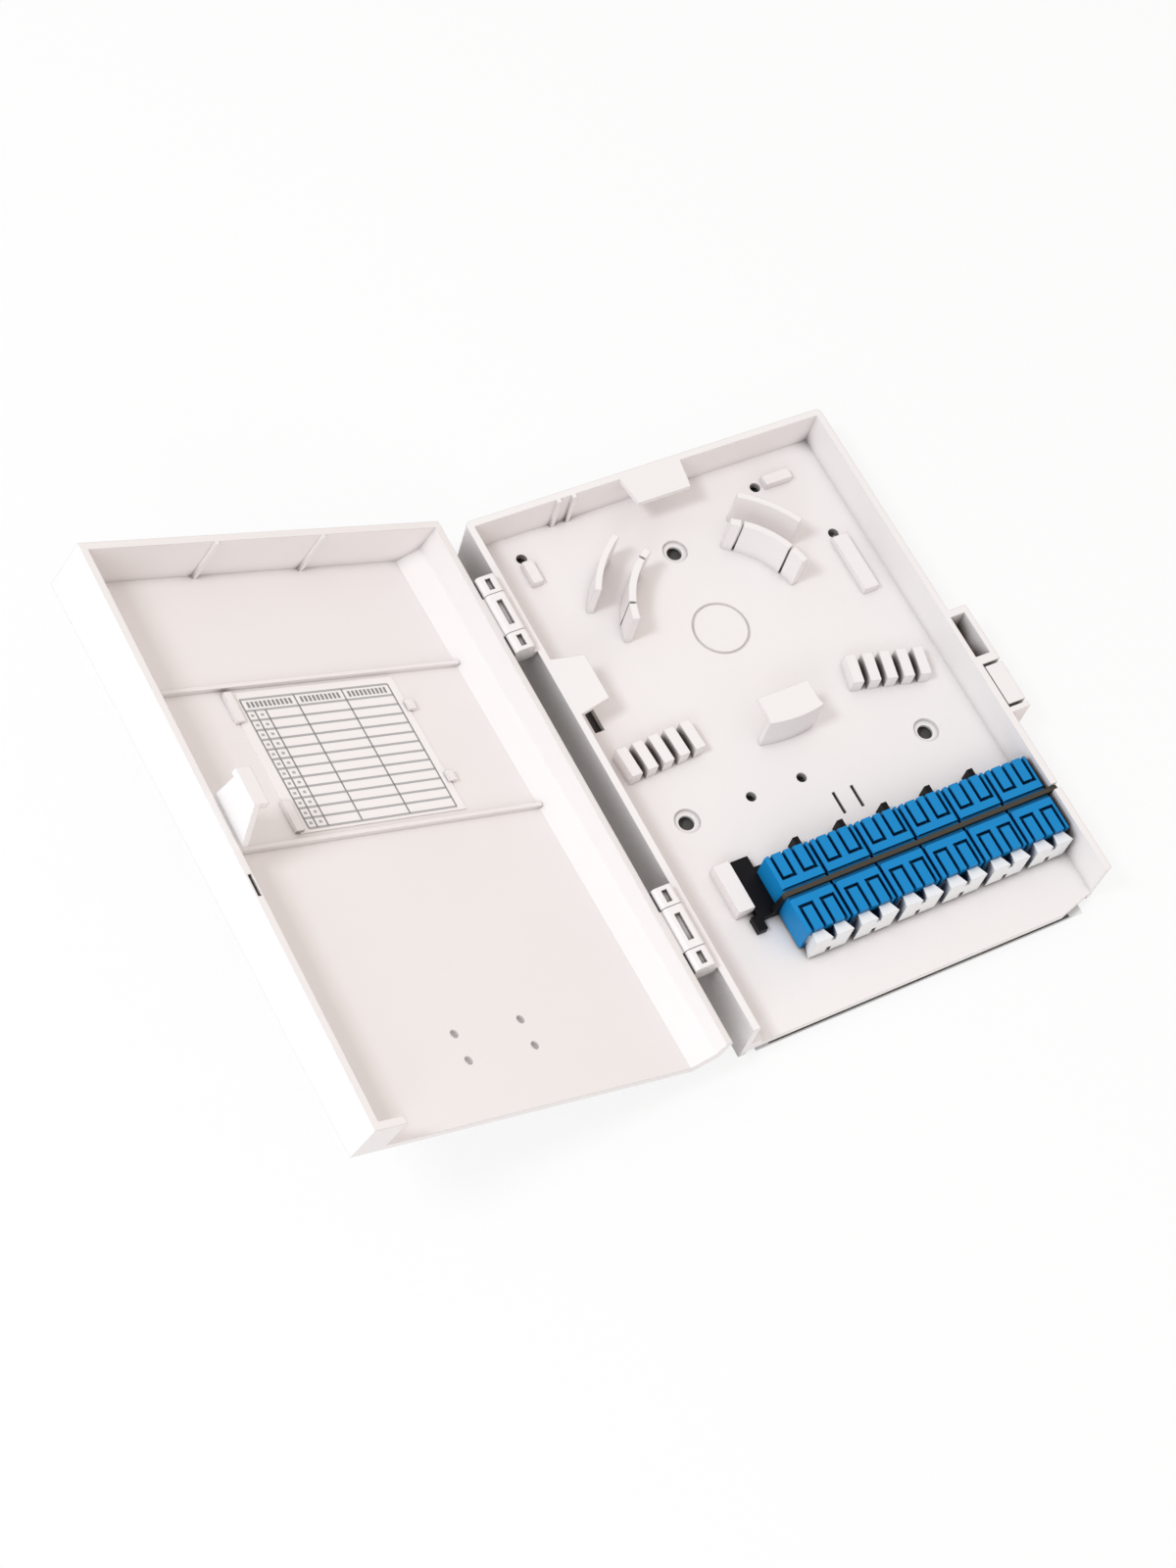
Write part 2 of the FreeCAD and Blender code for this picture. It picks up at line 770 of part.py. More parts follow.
def latch_groove(x, end):
    """U-shaped groove on the top of one port, open towards the middle of the adapter."""
    edge_y = adapter_front_y if end < 0 else adapter_rear_y
    far_y = edge_y - end * latch_groove_length
    side = (latch_groove_width - latch_groove_island) / 2
    y0 = min(edge_y, far_y)
    y1 = max(edge_y, far_y)
    z0 = adapter_top_z - latch_groove_depth
    z1 = adapter_top_z + cut_over
    groove = box(x - latch_groove_width / 2, x + latch_groove_width / 2, y0, y1, z0, z1)
    island_far = far_y + end * side
    island_y0 = min(edge_y, island_far) - (cut_over if end < 0 else 0)
    island_y1 = max(edge_y, island_far) + (cut_over if end > 0 else 0)
    island = box(x - latch_groove_island / 2, x + latch_groove_island / 2, island_y0, island_y1, z0, z1)
    return groove.cut(island)


def adapter_body(number):
    """Duplex adapter: a block with two ports at each end and a tube for each sleeve."""
    x = adapter_x(number)
    half = adapter_width / 2
    body = box(x - half, x + half, adapter_front_y, adapter_rear_y, adapter_floor_z, adapter_top_z)
    long_edges = [
        edge
        for edge in body.Edges
        if abs(edge.Vertexes[0].Y - edge.Vertexes[1].Y) > adapter_height and edge.CenterOfMass.z > port_z
    ]
    body = body.makeChamfer(adapter_edge, long_edges)
    saddle_y0 = adapter_middle_y - adapter_saddle_width / 2
    saddle_y1 = saddle_y0 + adapter_saddle_width
    saddle_z0 = adapter_top_z - adapter_saddle_depth
    saddle_z1 = adapter_top_z + cut_over
    cuts = [box(x - half - cut_over, x + half + cut_over, saddle_y0, saddle_y1, saddle_z0, saddle_z1)]
    for port in (0, 1):
        middle = port_x(number, port)
        for end, edge_y in ((-1, adapter_front_y), (1, adapter_rear_y)):
            far_y = edge_y - end * port_depth
            out_y = edge_y + end * cut_over
            z0 = port_z - port_height / 2
            cavity = box(
                middle - port_width / 2,
                middle + port_width / 2,
                min(far_y, out_y),
                max(far_y, out_y),
                z0,
                z0 + port_height,
            )
            tube_y = adapter_middle_y + end * sleeve_tube_reach
            tube = along_y(sleeve_tube_radius, middle, port_z, min(tube_y, far_y), max(tube_y, far_y))
            cuts.append(cavity.cut(tube))
            cuts.append(latch_groove(middle, end))
        bore = sleeve_radius + sleeve_clearance
        cuts.append(along_y(bore, middle, port_z, adapter_front_y, adapter_rear_y))
    return body.cut(Part.makeCompound(cuts))


def alignment_sleeve(x):
    """Split ceramic sleeve that lines up two ferrules."""
    y0 = adapter_middle_y - sleeve_length / 2
    y1 = adapter_middle_y + sleeve_length / 2
    tube = along_y(sleeve_radius, x, port_z, y0, y1).cut(along_y(sleeve_bore, x, port_z, y0, y1))
    slit = box(x - sleeve_slit / 2, x + sleeve_slit / 2, y0, y1, port_z, port_z + sleeve_radius + cut_over)
    return tube.cut(slit)


def cap_section(x, y, width, height):
    """Upright rectangle round the middle of a port."""
    x0 = x - width / 2
    x1 = x + width / 2
    z0 = port_z - height / 2
    z1 = port_z + height / 2
    points = [V(x0, y, z0), V(x1, y, z0), V(x1, y, z1), V(x0, y, z1)]
    return Part.makePolygon(points + points[:1])


def dust_cap(number):
    """Duplex cap: two square shanks in the front ports, two flared grips and a joining plate."""
    end_y = adapter_front_y - cap_reach
    left = port_x(number, 0)
    right = port_x(number, 1)
    plate_z0 = port_z - cap_plate_height / 2
    plate = box(left, right, end_y, end_y + cap_plate, plate_z0, plate_z0 + cap_plate_height)
    shank_y1 = adapter_front_y + cap_shank_length
    shank_z0 = port_z - cap_shank_height / 2
    pieces = []
    for x in (left, right):
        x0 = x - cap_shank_width / 2
        x1 = x + cap_shank_width / 2
        pieces.append(box(x0, x1, adapter_front_y, shank_y1, shank_z0, shank_z0 + cap_shank_height))
        rim = cap_section(x, end_y, cap_rim_width, cap_rim_height)
        neck = cap_section(x, adapter_front_y, cap_neck_width, cap_neck_height)
        pieces.append(Part.makeLoft([rim, neck], True, True))
    return plate.multiFuse(pieces).removeSplitter()


def export(name, shape):
    shape.exportStep(os.path.join("parts", name + ".step"))


def main():
    os.makedirs("parts", exist_ok=True)
    export("base_tray", base_tray())
    export("cover_shell", swung_open(cover_shell_shut()))
    export("label_card", swung_open(label_card_shut()))
    export("upper_hinge_pin", hinge_pin(hinge_y))
    export("lower_hinge_pin", hinge_pin(-hinge_y))
    export("adapter_frame", adapter_frame())
    for number in range(adapters):
        label = str(number + 1)
        export("adapter_body_" + label, adapter_body(number))
        export("front_dust_cap_" + label, dust_cap(number))
        for port, side in enumerate(("left", "right")):
            export(side + "_sleeve_" + label, alignment_sleeve(port_x(number, port)))


main()
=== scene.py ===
"""Looks of the fibre wall box: moulded plastics, a printed card and plain studio light."""
import json
import math

import bpy
from mathutils import Euler, Matrix, Vector


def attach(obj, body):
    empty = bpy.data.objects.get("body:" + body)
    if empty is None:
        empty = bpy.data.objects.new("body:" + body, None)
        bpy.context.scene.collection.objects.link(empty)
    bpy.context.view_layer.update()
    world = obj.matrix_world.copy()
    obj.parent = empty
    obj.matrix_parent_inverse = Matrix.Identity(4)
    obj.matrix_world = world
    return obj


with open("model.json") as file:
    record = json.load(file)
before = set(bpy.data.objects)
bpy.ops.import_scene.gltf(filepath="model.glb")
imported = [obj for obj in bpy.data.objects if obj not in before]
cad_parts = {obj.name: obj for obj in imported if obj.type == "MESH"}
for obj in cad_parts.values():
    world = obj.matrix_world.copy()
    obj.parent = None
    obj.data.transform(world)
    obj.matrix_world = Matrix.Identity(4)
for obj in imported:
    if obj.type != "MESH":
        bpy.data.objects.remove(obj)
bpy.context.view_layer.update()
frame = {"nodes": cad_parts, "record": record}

MM = 0.001

# Camera, fitted to the straight edges of the box in a 1200 by 1600 picture
camera_place_mm = (-337.14, -259.20, 625.16)
camera_turn_deg = (29.776, -11.463, -27.976)
camera_lens_mm = 88.45
camera_sensor_mm = 36.0

# Light: two lamps on the left, and a dome that is cooler on the left than on the right
key_place_mm = (-700.0, 0.0, 930.0)
key_size_mm = 200.0
key_watts = 3.6
front_place_mm = (-700.0, -600.0, 600.0)
front_size_mm = 300.0
front_watts = 1.0
lamp_tint = (0.97, 1.04, 1.08)
lamp_aim_mm = (-40.0, 0.0, 0.0)
dome_strength = 0.79
dome_left_tint = (0.945, 0.99, 1.03)
dome_right_tint = (1.06, 0.95, 0.87)
background_white = (1.0, 1.0, 1.0)

# Floor, with rectangles below the tray and the open cover: the dim ones don't glow, the inner one is painted
# shade
floor_half_mm = 4000.0
floor_glow = 0.8
floor_roughness = 0.9
tray_middle_mm = (0.0, 0.0)
tray_dim_half_mm = (50.0, 78.2)
tray_painted_shade_half_mm = (46.0, 77.8)
tray_soft_mm = 0.1
cover_middle_mm = (-105.0, 0.0)
cover_dim_half_mm = (35.0, 57.0)
cover_soft_mm = 8.0

# Colours, as linear light
shell_white = (0.878, 0.836, 0.828)
holder_black = (0.006, 0.005, 0.006)
# Painted highlight along the top of the holder's panel
panel_top_painted_highlight = (0.065, 0.055, 0.042)
adapter_blue = (0.007, 0.235, 0.56)
cap_white = (0.88, 0.88, 0.89)
sleeve_white = (0.80, 0.79, 0.76)
card_white = (0.93, 0.895, 0.89)
ink_grey = (0.30, 0.29, 0.295)
pale_ink_grey = (0.46, 0.45, 0.455)
floor_white = (0.90, 0.90, 0.90)
# Painted shade on the paper below the tray
painted_floor_shade = (0.15, 0.14, 0.13)
# Painted shade for the creases, pits and slots of the plastics
shell_painted_shade = (0.12, 0.09, 0.075)
adapter_painted_shade = (0.0015, 0.012, 0.05)
black_painted_shade = (0.001, 0.001, 0.001)

# Finish of each material; the grain is counted per metre, and the edge is the radius that catches light
shell_finish = dict(roughness=0.42, shine=0.4, grain=2600.0, bump=0.12, edge_mm=0.35)
holder_finish = dict(roughness=0.38, shine=0.12, grain=3200.0, bump=0.15, edge_mm=0.2)
adapter_finish = dict(roughness=0.36, shine=0.15, grain=3000.0, bump=0.12, edge_mm=0.2)
cap_finish = dict(roughness=0.40, shine=0.4, grain=3000.0, bump=0.10, edge_mm=0.25)
sleeve_finish = dict(roughness=0.22, shine=0.5, grain=5000.0, bump=0.05, edge_mm=0.05)
card_finish = dict(roughness=0.72, shine=0.3, grain=5200.0, bump=0.20, edge_mm=0.05)
ink_finish = dict(roughness=0.7, shine=0.3, grain=4000.0, bump=0.05, edge_mm=0.02)

# What all the finishes share: clouds in the colour, and grain in the gloss and the relief
cloud_per_metre = 38.0
cloud_detail = 3.0
cloud_strength = 0.04
noise_middle = 0.5
grain_detail = 2.0
grain_depth_mm = 0.05
gloss_spread = 0.10
edge_samples = 6

# Painted shade in creases, pits and slots, deepest where a surface sees little open room
crease_reach_mm = 6.0
crease_gain = 1.3
crease_falloff = 4.0
crease_samples = 10

# The narrow gap beside the hinge wall, where the painted shade reaches further
hinge_gap_middle_mm = -59.5
hinge_gap_half_mm = 4.5
hinge_gap_soft_mm = 1.5
hinge_gap_reach_mm = 24.0

# The tray's scored ring, which is spared the painted shade
ring_middle_mm = (0.0, 30.6)
ring_radius_mm = 8.0
ring_clean_mm = 1.0

# Height over which the adapter frame's panel turns to its painted brown highlight along the top
panel_highlight_low_mm = 12.8
panel_highlight_high_mm = 13.6

# Printed table on the card, in millimetres from the card's corner
card_rows = 12
card_margin_side = 3.0
card_margin_top = 2.2
card_margin_foot = 1.0
card_columns = (0.0, 2.6, 5.8, 16.0, 30.7, 45.4)
heading_columns = (0.0, 16.0, 30.7, 45.4)
numbered_columns = 2
row_line = 0.6
column_line = 0.45
card_header_height = 3.4
heading_inset = 0.9
heading_step = 1.25
heading_stroke_width = 0.75
heading_stroke_height = 1.7
number_mark_width = 0.9
number_mark_height = 0.7
ink_lift = 0.02
ink_thickness = 0.02
face_tolerance = 0.05


def opaque(tone):
    """Colour of a node's input from a tone of three parts."""
    return (*tone, 1.0)


def feed(tree, entry, value):
    """Gives a node's input a value of its own, or a link from another node's output."""
    if isinstance(value, bpy.types.NodeSocket):
        tree.links.new(value, entry)
    else:
        entry.default_value = value


def maths(tree, operation, *values):
    """Sum, product or the like of numbers and other nodes' outputs."""
    node = tree.nodes.new("ShaderNodeMath")
    node.operation = operation
    for entry, value in zip(node.inputs, values):
        feed(tree, entry, value)
    return node.outputs[0]


def ramp(tree, value, low, high, at_low=0.0, at_high=1.0, course="LINEAR"):
    """Goes from at_low to at_high while the value goes from low to high."""
    node = tree.nodes.new("ShaderNodeMapRange")
    node.interpolation_type = course
    feed(tree, node.inputs["Value"], value)
    feed(tree, node.inputs["From Min"], low)
    feed(tree, node.inputs["From Max"], high)
    feed(tree, node.inputs["To Min"], at_low)
    feed(tree, node.inputs["To Max"], at_high)
    return node.outputs["Result"]


def blend(tree, share, first, second):
    """Colour that goes from the first to the second as the share goes from 0 to 1."""
    node = tree.nodes.new("ShaderNodeMix")
    node.data_type = "RGBA"
    feed(tree, node.inputs["Factor"], share)
    feed(tree, node.inputs["A"], first)
    feed(tree, node.inputs["B"], second)
    return node.outputs["Result"]


def position(tree, kind="Object"):
    """Place of a surface in its own object, or the direction of the dome where the kind is Generated."""
    return tree.nodes.new("ShaderNodeTexCoord").outputs[kind]


def axes(tree, vector):
    """The outputs X, Y and Z of a vector."""
    split = tree.nodes.new("ShaderNodeSeparateXYZ")
    feed(tree, split.inputs[0], vector)
    return split.outputs


def away_from(tree, coordinate, middle_mm):
    """Distance of a coordinate from a middle, to either side."""
    return maths(tree, "ABSOLUTE", maths(tree, "SUBTRACT", coordinate, middle_mm * MM))


def noise(tree, per_metre, detail):
    """Noise fixed to the surface's own object."""
    node = tree.nodes.new("ShaderNodeTexNoise")
    feed(tree, node.inputs["Vector"], position(tree))
    feed(tree, node.inputs["Scale"], per_metre)
    feed(tree, node.inputs["Detail"], detail)
    return node.outputs["Fac"]


def new_group(name, kind, given, made):
    """Node group with named inputs and outputs; gives the group and both ends."""
    group = bpy.data.node_groups.new(name, kind)
    for way, sockets in (("INPUT", given), ("OUTPUT", made)):
        for label, socket in sockets.items():
            group.interface.new_socket(name=label, in_out=way, socket_type=socket)
    start = group.nodes.new("NodeGroupInput").outputs
    end = group.nodes.new("NodeGroupOutput").inputs
    return group, start, end


def use_group(tree, group, values):
    """Puts a node group into a tree with its named inputs filled, and gives its outputs."""
    node = tree.nodes.new("ShaderNodeGroup")
    node.node_tree = group
    for name, value in values.items():
        feed(tree, node.inputs[name], value)
    return node.outputs


def moulded_finish_group():
    """Cloudy colour, uneven gloss and a fine spark-eroded grain, shared by the moulded plastics."""
    inputs = {"Tone": "NodeSocketColor", "Grain per metre": "NodeSocketFloat", "Roughness": "NodeSocketFloat"}
    outputs = {"Color": "NodeSocketColor", "Gloss": "NodeSocketFloat", "Height": "NodeSocketFloat"}
    group, given, made = new_group("moulded_finish", "ShaderNodeTree", inputs, outputs)
    swing = maths(group, "SUBTRACT", noise(group, cloud_per_metre, cloud_detail), noise_middle)
    brightness = maths(group, "MULTIPLY_ADD", swing, cloud_strength, 1.0)
    tint = group.nodes.new("ShaderNodeVectorMath")
    tint.operation = "SCALE"
    feed(group, tint.inputs[0], given["Tone"])
    feed(group, tint.inputs["Scale"], brightness)
    grain = noise(group, given["Grain per metre"], grain_detail)
    feed(group, made["Color"], tint.outputs[0])
    feed(group, made["Gloss"], maths(group, "MULTIPLY_ADD", grain, gloss_spread, given["Roughness"]))
    feed(group, made["Height"], grain)
    return group


def painted_crease_shade_group():
    """Paints shade: turns a colour towards a deeper one where a surface sees little of the open room around
    it.
    """
    inputs = {"Color": "NodeSocketColor", "Crease": "NodeSocketColor", "Openness": "NodeSocketFloat"}
    group, given, made = new_group("painted_crease_shade", "ShaderNodeTree", inputs, {"Color": "NodeSocketColor"})
    closed = maths(group, "SUBTRACT", 1.0, given["Openness"])
    depth = maths(group, "POWER", maths(group, "MULTIPLY", closed, crease_gain), crease_falloff)
    feed(group, made["Color"], blend(group, depth, given["Color"], given["Crease"]))
    return group


moulded_finish = moulded_finish_group()
painted_crease_shade = painted_crease_shade_group()


def moulded_plastic(name, tone, roughness, shine, grain, bump, edge_mm):
    """Plastic with the shared finish, and edges that catch light as if rounded by the mould."""
    material = bpy.data.materials.new(name)
    material.use_nodes = True
    tree = material.node_tree
    shader = tree.nodes["Principled BSDF"]
    values = {"Tone": opaque(tone), "Grain per metre": grain, "Roughness": roughness}
    finish = use_group(tree, moulded_finish, values)
    edge = tree.nodes.new("ShaderNodeBevel")
    edge.samples = edge_samples
    feed(tree, edge.inputs["Radius"], edge_mm * MM)
    relief = tree.nodes.new("ShaderNodeBump")
    feed(tree, relief.inputs["Strength"], bump)
    feed(tree, relief.inputs["Distance"], grain_depth_mm * MM)
    feed(tree, relief.inputs["Height"], finish["Height"])
    feed(tree, relief.inputs["Normal"], edge.outputs["Normal"])
    feed(tree, shader.inputs["Specular IOR Level"], shine)
    feed(tree, shader.inputs["Base Color"], finish["Color"])
    feed(tree, shader.inputs["Roughness"], finish["Gloss"])
    feed(tree, shader.inputs["Normal"], relief.outputs["Normal"])
    return material


def paint_crease_shade(material, painted_shade_tone, reach=crease_reach_mm * MM, spared=0.0):
    """Paints shade into corners, pits and slots, as far as the reach and not where spared is 1."""
    tree = material.node_tree
    base = tree.nodes["Principled BSDF"].inputs["Base Color"]
    room = tree.nodes.new("ShaderNodeAmbientOcclusion")
    room.samples = crease_samples
    feed(tree, room.inputs["Distance"], reach)
    openness = maths(tree, "MAXIMUM", spared, room.outputs["AO"])
    values = {"Color": base.links[0].from_socket, "Crease": opaque(painted_shade_tone), "Openness": openness}
    feed(tree, base, use_group(tree, painted_crease_shade, values)["Color"])


def hinge_gap_reach(tree):
    """Reach of the painted crease shade, longer in the gap between the hinge wall and the open cover."""
    away = away_from(tree, axes(tree, position(tree))["X"], hinge_gap_middle_mm)
    low = hinge_gap_half_mm * MM
    high = (hinge_gap_half_mm + hinge_gap_soft_mm) * MM
    return ramp(tree, away, low, high, hinge_gap_reach_mm * MM, crease_reach_mm * MM)


def scored_ring(tree):
    """Value that is 1 along the tray's scored ring, which is spared the painted shade so that its shallow
    line stays pale, and 0 elsewhere.
    """
    flat = tree.nodes.new("ShaderNodeVectorMath")
    flat.operation = "MULTIPLY"
    feed(tree, flat.inputs[0], position(tree))
    feed(tree, flat.inputs[1], (1.0, 1.0, 0.0))
    away = tree.nodes.new("ShaderNodeVectorMath")
    away.operation = "DISTANCE"
    feed(tree, away.inputs[0], flat.outputs["Vector"])
    feed(tree, away.inputs[1], Vector((*ring_middle_mm, 0.0)) * MM)
    return maths(tree, "COMPARE", away.outputs["Value"], ring_radius_mm * MM, ring_clean_mm * MM)


def paint_panel_top_highlight(material):
    """Paints a brown highlight along the top of the holder's panel, above a given height."""
    tree = material.node_tree
    base = tree.nodes["Principled BSDF"].inputs["Base Color"]
    height = axes(tree, position(tree))["Z"]
    highlighted = ramp(tree, height, panel_highlight_low_mm * MM, panel_highlight_high_mm * MM)
    feed(tree, base, blend(tree, highlighted, base.links[0].from_socket, opaque(panel_top_painted_highlight)))


def shell_plastic():
    """White plastic of the tray and the cover, with painted shade in its creases, deeper in the hinge gap."""
    material = moulded_plastic("shell_plastic", shell_white, **shell_finish)
    tree = material.node_tree
    paint_crease_shade(material, shell_painted_shade, hinge_gap_reach(tree), scored_ring(tree))
    return material


def holder_plastic():
    """Black plastic of the frame that holds the adapters, with a painted highlight along its panel's top and
    painted shade in its creases.
    """
    material = moulded_plastic("holder_plastic", holder_black, **holder_finish)
    paint_panel_top_highlight(material)
    paint_crease_shade(material, black_painted_shade)
    return material


def adapter_plastic():
    """Blue plastic of the adapters, with painted navy shade in its creases and grooves."""
    material = moulded_plastic("adapter_plastic", adapter_blue, **adapter_finish)
    paint_crease_shade(material, adapter_painted_shade)
    return material


def cap_plastic():
    """White plastic of the dust caps, with painted navy shade in its creases."""
    material = moulded_plastic("cap_plastic", cap_white, **cap_finish)
    paint_crease_shade(material, adapter_painted_shade)
    return material


def dress_nodes():
    """Gives every CAD node the material of its slot."""
    finishes = {
        "shell": shell_plastic(),
        "frame": holder_plastic(),
        "adapter": adapter_plastic(),
        "cap": cap_plastic(),
        "sleeve": moulded_plastic("sleeve_ceramic", sleeve_white, **sleeve_finish),
        "card": moulded_plastic("card_paper", card_white, **card_finish),
    }
    for piece in frame["record"]["subparts"]:
        slots = frame["nodes"][piece["node"]].data.materials
        slots.clear()
        slots.append(finishes[piece["material_slot"]])


def card_plane():
    """Place of the card's upper face, with axes across, along and off the card, and the card's length."""
    mesh = frame["nodes"]["label_card"].data
    points = [vertex.co.copy() for vertex in mesh.vertices]
    face = max(mesh.polygons, key=lambda polygon: (polygon.normal.z, polygon.area))
    normal = face.normal.copy()
    top = max(point.dot(normal) for point in points)
    corners = [point for point in points if point.dot(normal) > top - face_tolerance * MM]
    along = Vector((0.0, 1.0, 0.0))
    along = (along - normal * along.dot(normal)).normalized()
    across = along.cross(normal)
    low_across = min(point.dot(across) for point in corners)
    low_along = min(point.dot(along) for point in corners)
    length = max(point.dot(along) for point in corners) - low_along
    corner = across * low_across + along * low_along + normal * top
    turn = Matrix((across, along, normal)).transposed().to_4x4()
    return Matrix.Translation(corner) @ turn, length


def repeated_strokes_tree():
    """Geometry tree that repeats one printed stroke at even steps."""
    inputs = {
        "Geometry": "NodeSocketGeometry",
        "Count": "NodeSocketInt",
        "Start": "NodeSocketVector",
        "Step": "NodeSocketVector",
        "Stroke": "NodeSocketVector",
        "Ink": "NodeSocketMaterial",
    }
    outputs = {"Geometry": "NodeSocketGeometry"}
    group, given, made = new_group("repeated_strokes", "GeometryNodeTree", inputs, outputs)
    row = group.nodes.new("GeometryNodeMeshLine")
    feed(group, row.inputs["Count"], given["Count"])
    feed(group, row.inputs["Start Location"], given["Start"])
    feed(group, row.inputs["Offset"], given["Step"])
    stroke = group.nodes.new("GeometryNodeMeshCube")
    feed(group, stroke.inputs["Size"], given["Stroke"])
    repeat = group.nodes.new("GeometryNodeInstanceOnPoints")
    feed(group, repeat.inputs["Points"], row.outputs["Mesh"])
    feed(group, repeat.inputs["Instance"], stroke.outputs["Mesh"])
    real = group.nodes.new("GeometryNodeRealizeInstances")
    feed(group, real.inputs["Geometry"], repeat.outputs["Instances"])
    inked = group.nodes.new("GeometryNodeSetMaterial")
    feed(group, inked.inputs["Geometry"], real.outputs["Geometry"])
    feed(group, inked.inputs["Material"], given["Ink"])
    feed(group, made["Geometry"], inked.outputs["Geometry"])
    return group


repeated_strokes = repeated_strokes_tree()


def set_input(modifier, name, value):
    """Sets one named input of a modifier's tree by its socket's identifier."""
    for item in modifier.node_group.interface.items_tree:
        if item.name == name and item.in_out == "INPUT":
            modifier[item.identifier] = value


def print_on_card(name, place, ink, count, start_mm, step_mm, stroke_mm):
    """Prints a run of equal strokes on the card, given in millimetres from the card's corner."""
    ink_middle = ink_lift + ink_thickness / 2
    holder = bpy.data.objects.new(name, bpy.data.meshes.new(name))
    bpy.context.collection.objects.link(holder)
    modifier = holder.modifiers.new("strokes", "NODES")
    modifier.node_group = repeated_strokes
    set_input(modifier, "Count", count)
    set_input(modifier, "Start", Vector((*start_mm, ink_middle)) * MM)
    set_input(modifier, "Step", Vector((*step_mm, 0.0)) * MM)
    set_input(modifier, "Stroke", Vector((*stroke_mm, ink_thickness)) * MM)
    set_input(modifier, "Ink", ink)
    settled = holder.evaluated_get(bpy.context.evaluated_depsgraph_get())
    printed = bpy.data.meshes.new_from_object(settled)
    holder.modifiers.remove(modifier)
    holder.data = printed
    printed.transform(place)
    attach(holder, "cover")


def card_table():
    """Ruled table of the card: plain heading strokes, rows, columns and a mark for each row number."""
    place, length = card_plane()
    ink = moulded_plastic("table_ink", ink_grey, **ink_finish)
    pale_ink = moulded_plastic("pale_table_ink", pale_ink_grey, **ink_finish)
    left = card_margin_side
    across = card_columns[-1]
    top = length / MM - card_margin_top
    foot = card_margin_foot
    body_top = top - card_header_height
    pitch = (body_top - foot) / card_rows
    middle_x = left + across / 2
    rule = (across, row_line)
    print_on_card("row_rules", place, pale_ink, card_rows + 1, (middle_x, foot), (0.0, pitch), rule)
    print_on_card("top_rule", place, pale_ink, 1, (middle_x, top), (0.0, 0.0), rule)
    for number, column in enumerate(card_columns):
        end = top if column in heading_columns else body_top
        start = (left + column, (end + foot) / 2)
        rule = (column_line, end - foot)
        print_on_card("column_rule_" + str(number), place, ink, 1, start, (0.0, 0.0), rule)
    for number in range(numbered_columns):
        x = left + (card_columns[number] + card_columns[number + 1]) / 2
        start = (x, foot + pitch / 2)
        mark = (number_mark_width, number_mark_height)
        print_on_card("number_marks_" + str(number), place, pale_ink, card_rows, start, (0.0, pitch), mark)
    for number, (start_x, end_x) in enumerate(zip(heading_columns, heading_columns[1:])):
        count = int((end_x - start_x - 2 * heading_inset) / heading_step)
        run = (count - 1) * heading_step
        start = (left + (start_x + end_x - run) / 2, (top + body_top) / 2)
        stroke = (heading_stroke_width, heading_stroke_height)
        print_on_card("heading_" + str(number), place, ink, count, start, (heading_step, 0.0), stroke)


def any_seen(tree):
    """Value that is 1 for rays which should see a white background, and 0 for light that bounces."""
    path = tree.nodes.new("ShaderNodeLightPath").outputs
    mirrored = maths(tree, "MAXIMUM", path["Is Glossy Ray"], path["Is Transmission Ray"])
    return maths(tree, "MAXIMUM", path["Is Camera Ray"], mirrored)


def beyond(tree, middle_mm, half_mm, soft_mm):
    """Value that is 0 on a rectangle of the floor, given by its middle and half sizes, and 1 around it."""
    place = axes(tree, position(tree))
    past = []
    for name, middle, half in zip("XY", middle_mm, half_mm):
        away = away_from(tree, place[name], middle)
        past.append(ramp(tree, away, half * MM, (half + soft_mm) * MM, course="SMOOTHSTEP"))
    return maths(tree, "MAXIMUM", *past)


def floor_paper():
    """White paper that glows for the camera, so that its shadow stays faint, but not below the box; below the
    tray it is painted dark as shade.
    """
    material = bpy.data.materials.new("floor_paper")
    material.use_nodes = True
    tree = material.node_tree
    paper = tree.nodes["Principled BSDF"]
    feed(tree, paper.inputs["Roughness"], floor_roughness)
    # The paper below the tray is painted dark as shade
    past_painted_shade = beyond(tree, tray_middle_mm, tray_painted_shade_half_mm, tray_soft_mm)
    feed(tree, paper.inputs["Base Color"], blend(tree, past_painted_shade, opaque(painted_floor_shade), opaque(floor_white)))
    past_tray = beyond(tree, tray_middle_mm, tray_dim_half_mm, tray_soft_mm)
    past_cover = beyond(tree, cover_middle_mm, cover_dim_half_mm, cover_soft_mm)
    past_box = maths(tree, "MULTIPLY", past_tray, past_cover)
    share = maths(tree, "MULTIPLY", any_seen(tree), floor_glow)
    glow = tree.nodes.new("ShaderNodeEmission")
    mix = tree.nodes.new("ShaderNodeMixShader")
    feed(tree, mix.inputs["Fac"], maths(tree, "MULTIPLY", share, past_box))
    feed(tree, mix.inputs[1], paper.outputs["BSDF"])
    feed(tree, mix.inputs[2], glow.outputs["Emission"])
    feed(tree, tree.nodes["Material Output"].inputs["Surface"], mix.outputs["Shader"])
    return material


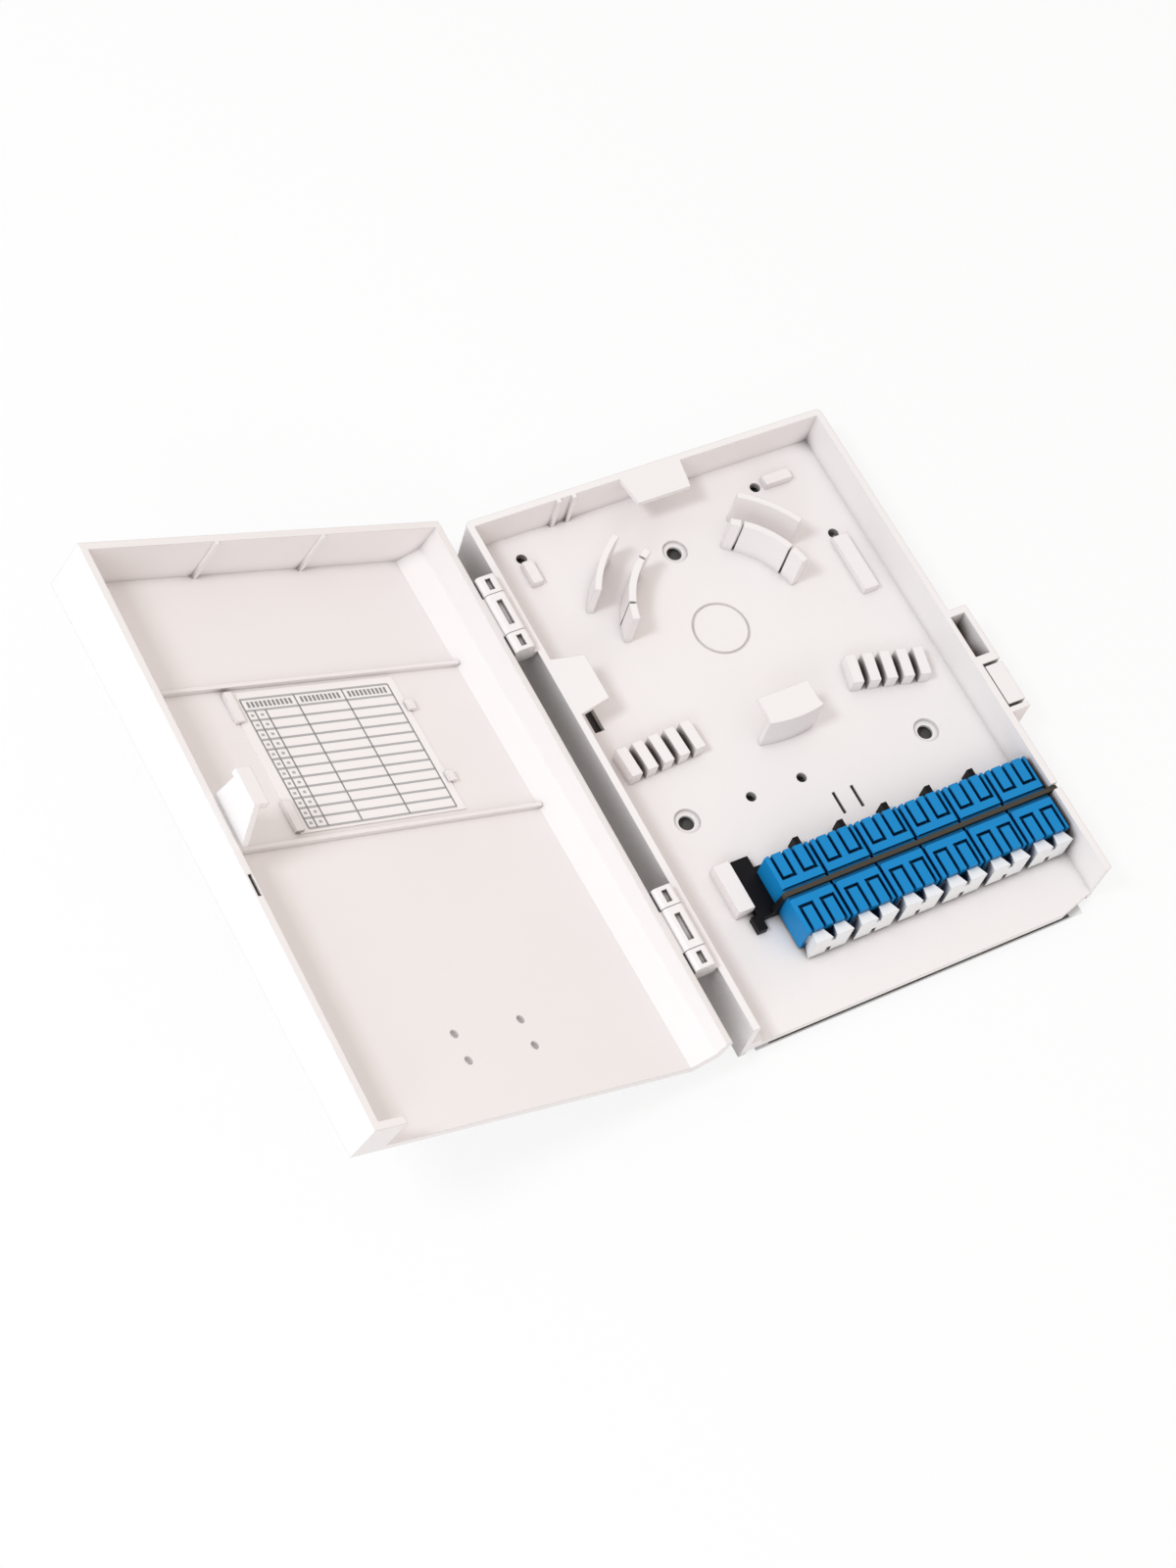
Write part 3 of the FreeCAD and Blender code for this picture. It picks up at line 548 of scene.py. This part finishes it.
def studio_floor():
    """Pale floor that keeps the shadow and shows white to the camera."""
    mesh = bpy.data.meshes.new("studio_floor")
    reach = floor_half_mm * MM
    points = [(-reach, -reach, 0.0), (reach, -reach, 0.0), (reach, reach, 0.0), (-reach, reach, 0.0)]
    mesh.from_pydata(points, [], [(0, 1, 2, 3)])
    floor = bpy.data.objects.new("studio_floor", mesh)
    bpy.context.collection.objects.link(floor)
    mesh.materials.append(floor_paper())


def studio_dome():
    """Soft light from all round, with a white background for the camera."""
    world = bpy.data.worlds.new("studio_dome")
    world.use_nodes = True
    bpy.context.scene.world = world
    tree = world.node_tree
    left = opaque(dome_strength * part for part in dome_left_tint)
    right = opaque(dome_strength * part for part in dome_right_tint)
    side = ramp(tree, axes(tree, position(tree, "Generated"))["X"], -1.0, 1.0)
    light = blend(tree, side, left, right)
    shown = blend(tree, any_seen(tree), light, opaque(background_white))
    feed(tree, tree.nodes["Background"].inputs["Color"], shown)


def area_lamp(name, place_mm, size_mm, watts):
    """Square soft box turned towards the middle of the object."""
    light = bpy.data.lights.new(name, "AREA")
    light.shape = "SQUARE"
    light.size = size_mm * MM
    light.energy = watts
    light.color = lamp_tint
    lamp = bpy.data.objects.new(name, light)
    lamp.location = Vector(place_mm) * MM
    aim = Vector(lamp_aim_mm) * MM - lamp.location
    lamp.rotation_euler = aim.to_track_quat("-Z", "Y").to_euler()
    bpy.context.collection.objects.link(lamp)


def studio_camera():
    """Camera that sees the box as the photo does."""
    data = bpy.data.cameras.new("camera")
    data.sensor_fit = "HORIZONTAL"
    data.sensor_width = camera_sensor_mm
    data.lens = camera_lens_mm
    camera = bpy.data.objects.new("camera", data)
    camera.location = Vector(camera_place_mm) * MM
    camera.rotation_euler = Euler([math.radians(angle) for angle in camera_turn_deg], "XYZ")
    bpy.context.collection.objects.link(camera)
    bpy.context.scene.camera = camera


bpy.context.scene.view_settings.view_transform = "Standard"
dress_nodes()
card_table()
studio_floor()
studio_dome()
area_lamp("key_lamp", key_place_mm, key_size_mm, key_watts)
area_lamp("front_lamp", front_place_mm, front_size_mm, front_watts)
studio_camera()
